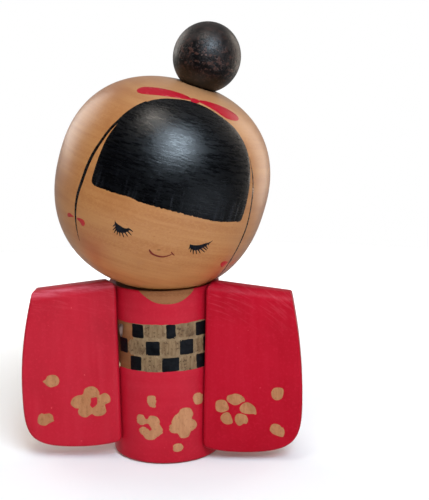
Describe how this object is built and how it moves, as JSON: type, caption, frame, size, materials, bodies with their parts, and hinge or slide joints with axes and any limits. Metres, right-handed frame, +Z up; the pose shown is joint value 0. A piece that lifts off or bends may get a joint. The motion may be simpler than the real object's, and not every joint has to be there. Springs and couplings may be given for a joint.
{
  "type": "kokeshi doll",
  "caption": "Turned wooden doll with a tilted round head, a hair bun, a straight round body and two flat sleeves; the head turns on its neck peg.",
  "frame": {"origin": "centre of the body's round base, on the surface that it stands on", "axes": "+Z up along the body and the neck peg, the doll's front faces -Y, and its left sleeve is on +X"},
  "size_m": [0.0786, 0.0588, 0.1209],
  "materials": {
    "kimono_paint": "satin red paint on turned wood",
    "face_wood": "clear semi-gloss lacquer on pale wood",
    "bun_stain": "semi-gloss dark stain",
    "dowel_wood": "bare wood",
    "dried_glue": "dried glue"
  },
  "bodies": {
    "figure": {"body": "kimono_paint", "neck_peg": "dowel_wood", "right_sleeve": "kimono_paint", "left_sleeve": "kimono_paint", "right_sleeve_peg": "dowel_wood", "left_sleeve_peg": "dowel_wood", "glue_bead": "dried_glue"},
    "head_and_bun": {"head": "face_wood", "hair_bun": "bun_stain", "bun_peg": "dowel_wood"}
  },
  "joints": [
    {"name": "head_turn", "type": "hinge", "parent": "figure", "child": "head_and_bun", "pos_m": [0, 0, 0.05], "axis": [0, 0, 1], "continuous": true}
  ]
}
